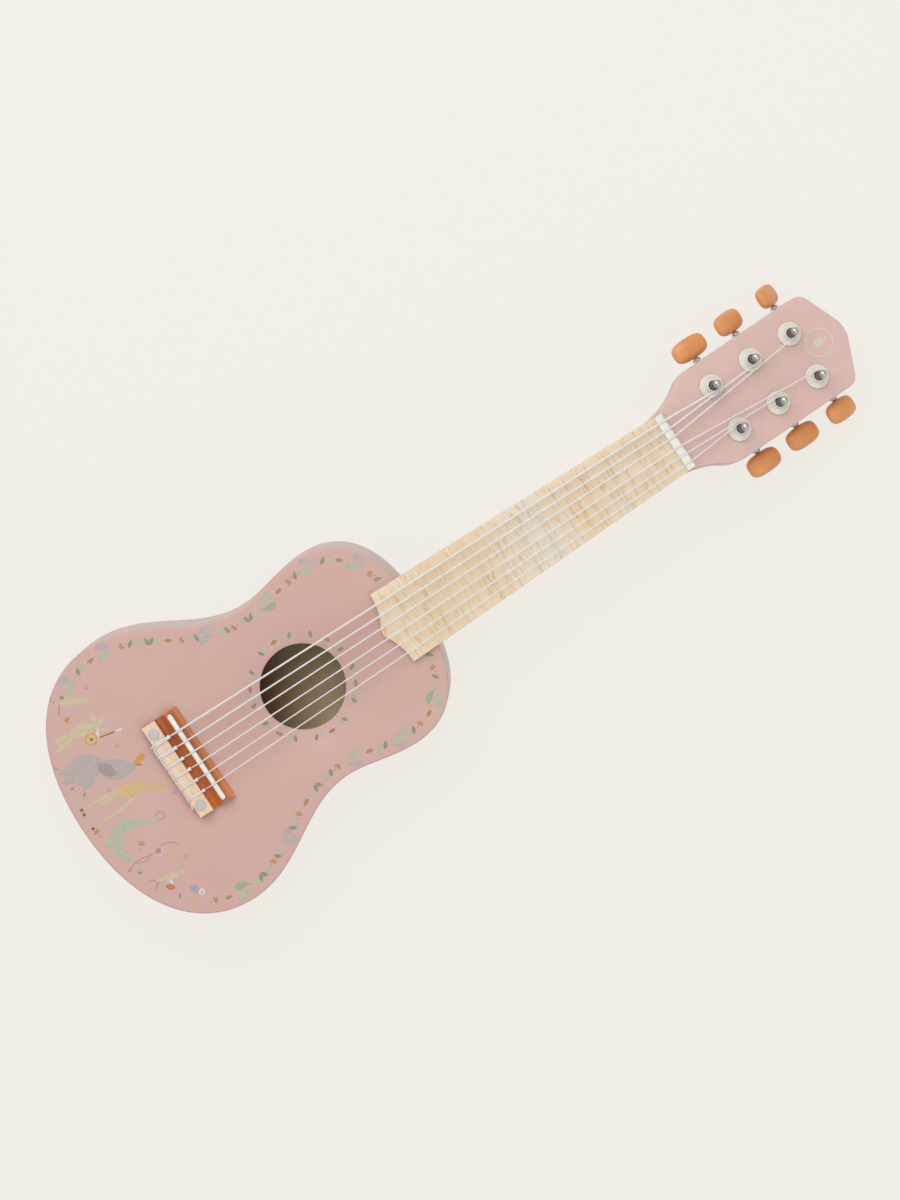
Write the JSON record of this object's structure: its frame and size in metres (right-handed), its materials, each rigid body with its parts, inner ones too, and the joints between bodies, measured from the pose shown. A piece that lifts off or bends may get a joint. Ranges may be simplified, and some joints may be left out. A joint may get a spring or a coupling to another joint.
{
  "type": "toy acoustic guitar",
  "caption": "Child-size nylon-string acoustic guitar with a hollow lacquered body, round sound hole, tilted headstock and geared tuners that turn.",
  "frame": {"origin": "centre of the footprint, on the plane of the flat back that the guitar lies on", "axes": "+X from the tail to the headstock, +Y towards the side of the thickest string, +Z out of the soundboard"},
  "size_m": [0.603, 0.1996, 0.0737],
  "materials": {
    "lacquer": "satin pink lacquer over wood",
    "raw_wood": "bare basswood inside the body",
    "pale_wood": "pale maple with fine flecks, satin",
    "fret_metal": "polished nickel silver",
    "ivory_plastic": "smooth ivory plastic",
    "bridge_wood": "reddish brown oiled wood",
    "strip_wood": "pale wood strip",
    "dot_plastic": "grey-white plastic cap",
    "steel": "nickel-plated steel",
    "caramel_plastic": "smooth caramel-coloured plastic",
    "nylon": "white nylon string"
  },
  "bodies": {
    "guitar": {"soundboard": "lacquer", "back_plate": "lacquer", "side_band": "lacquer", "neck": "lacquer", "neck_block": "raw_wood", "tail_block": "raw_wood", "soundboard_brace_lower": "raw_wood", "soundboard_brace_upper": "raw_wood", "back_brace": "raw_wood", "fretboard": "pale_wood", "fret_01": "fret_metal", "fret_02": "fret_metal", "fret_03": "fret_metal", "fret_04": "fret_metal", "fret_05": "fret_metal", "fret_06": "fret_metal", "fret_07": "fret_metal", "fret_08": "fret_metal", "fret_09": "fret_metal", "fret_10": "fret_metal", "fret_11": "fret_metal", "fret_12": "fret_metal", "nut": "ivory_plastic", "saddle": "ivory_plastic", "bridge": "bridge_wood", "tie_strip": "strip_wood", "bridge_dot_bass": "dot_plastic", "bridge_dot_treble": "dot_plastic", "rosette_bass_1": "ivory_plastic", "rosette_bass_2": "ivory_plastic", "rosette_bass_3": "ivory_plastic", "rosette_treble_1": "ivory_plastic", "rosette_treble_2": "ivory_plastic", "rosette_treble_3": "ivory_plastic", "tuner_plate_bass": "steel", "tuner_plate_treble": "steel", "string_1": "nylon", "string_2": "nylon", "string_3": "nylon", "string_4": "nylon", "string_5": "nylon", "string_6": "nylon"},
    "post_bass_1_body": {"post_bass_1": "steel"},
    "knob_bass_1_body": {"worm_bass_1": "steel", "knob_bass_1": "caramel_plastic"},
    "post_bass_2_body": {"post_bass_2": "steel"},
    "knob_bass_2_body": {"worm_bass_2": "steel", "knob_bass_2": "caramel_plastic"},
    "post_bass_3_body": {"post_bass_3": "steel"},
    "knob_bass_3_body": {"worm_bass_3": "steel", "knob_bass_3": "caramel_plastic"},
    "post_treble_1_body": {"post_treble_1": "steel"},
    "knob_treble_1_body": {"worm_treble_1": "steel", "knob_treble_1": "caramel_plastic"},
    "post_treble_2_body": {"post_treble_2": "steel"},
    "knob_treble_2_body": {"worm_treble_2": "steel", "knob_treble_2": "caramel_plastic"},
    "post_treble_3_body": {"post_treble_3": "steel"},
    "knob_treble_3_body": {"worm_treble_3": "steel", "knob_treble_3": "caramel_plastic"}
  },
  "joints": [
    {"name": "knob_bass_1_spin", "type": "hinge", "parent": "guitar", "child": "knob_bass_1_body", "pos_m": [0.20838, 0.01685, 0.03613], "axis": [0, 1, 0], "continuous": true},
    {"name": "knob_bass_2_spin", "type": "hinge", "parent": "guitar", "child": "knob_bass_2_body", "pos_m": [0.23934, 0.01685, 0.02725], "axis": [0, 1, 0], "continuous": true},
    {"name": "knob_bass_3_spin", "type": "hinge", "parent": "guitar", "child": "knob_bass_3_body", "pos_m": [0.27029, 0.01685, 0.01838], "axis": [0, 1, 0], "continuous": true},
    {"name": "knob_treble_1_spin", "type": "hinge", "parent": "guitar", "child": "knob_treble_1_body", "pos_m": [0.20838, -0.01685, 0.03613], "axis": [0, 1, 0], "continuous": true},
    {"name": "knob_treble_2_spin", "type": "hinge", "parent": "guitar", "child": "knob_treble_2_body", "pos_m": [0.23934, -0.01685, 0.02725], "axis": [0, 1, 0], "continuous": true},
    {"name": "knob_treble_3_spin", "type": "hinge", "parent": "guitar", "child": "knob_treble_3_body", "pos_m": [0.27029, -0.01685, 0.01838], "axis": [0, 1, 0], "continuous": true},
    {"name": "post_bass_1_spin", "type": "hinge", "parent": "guitar", "child": "post_bass_1_body", "pos_m": [0.20657, 0.01685, 0.05347], "axis": [0.2756, 0, 0.9613], "continuous": true},
    {"name": "post_bass_2_spin", "type": "hinge", "parent": "guitar", "child": "post_bass_2_body", "pos_m": [0.23753, 0.01685, 0.0446], "axis": [0.2756, 0, 0.9613], "continuous": true},
    {"name": "post_bass_3_spin", "type": "hinge", "parent": "guitar", "child": "post_bass_3_body", "pos_m": [0.26848, 0.01685, 0.03572], "axis": [0.2756, 0, 0.9613], "continuous": true},
    {"name": "post_treble_1_spin", "type": "hinge", "parent": "guitar", "child": "post_treble_1_body", "pos_m": [0.20657, -0.01685, 0.05347], "axis": [0.2756, 0, 0.9613], "continuous": true},
    {"name": "post_treble_2_spin", "type": "hinge", "parent": "guitar", "child": "post_treble_2_body", "pos_m": [0.23753, -0.01685, 0.0446], "axis": [0.2756, 0, 0.9613], "continuous": true},
    {"name": "post_treble_3_spin", "type": "hinge", "parent": "guitar", "child": "post_treble_3_body", "pos_m": [0.26848, -0.01685, 0.03572], "axis": [0.2756, 0, 0.9613], "continuous": true}
  ],
  "couplings": [
    {"joint": "post_bass_1_spin", "follows": "knob_bass_1_spin", "ratio": -0.083333},
    {"joint": "post_bass_2_spin", "follows": "knob_bass_2_spin", "ratio": -0.083333},
    {"joint": "post_bass_3_spin", "follows": "knob_bass_3_spin", "ratio": -0.083333},
    {"joint": "post_treble_1_spin", "follows": "knob_treble_1_spin", "ratio": -0.083333},
    {"joint": "post_treble_2_spin", "follows": "knob_treble_2_spin", "ratio": -0.083333},
    {"joint": "post_treble_3_spin", "follows": "knob_treble_3_spin", "ratio": -0.083333}
  ]
}
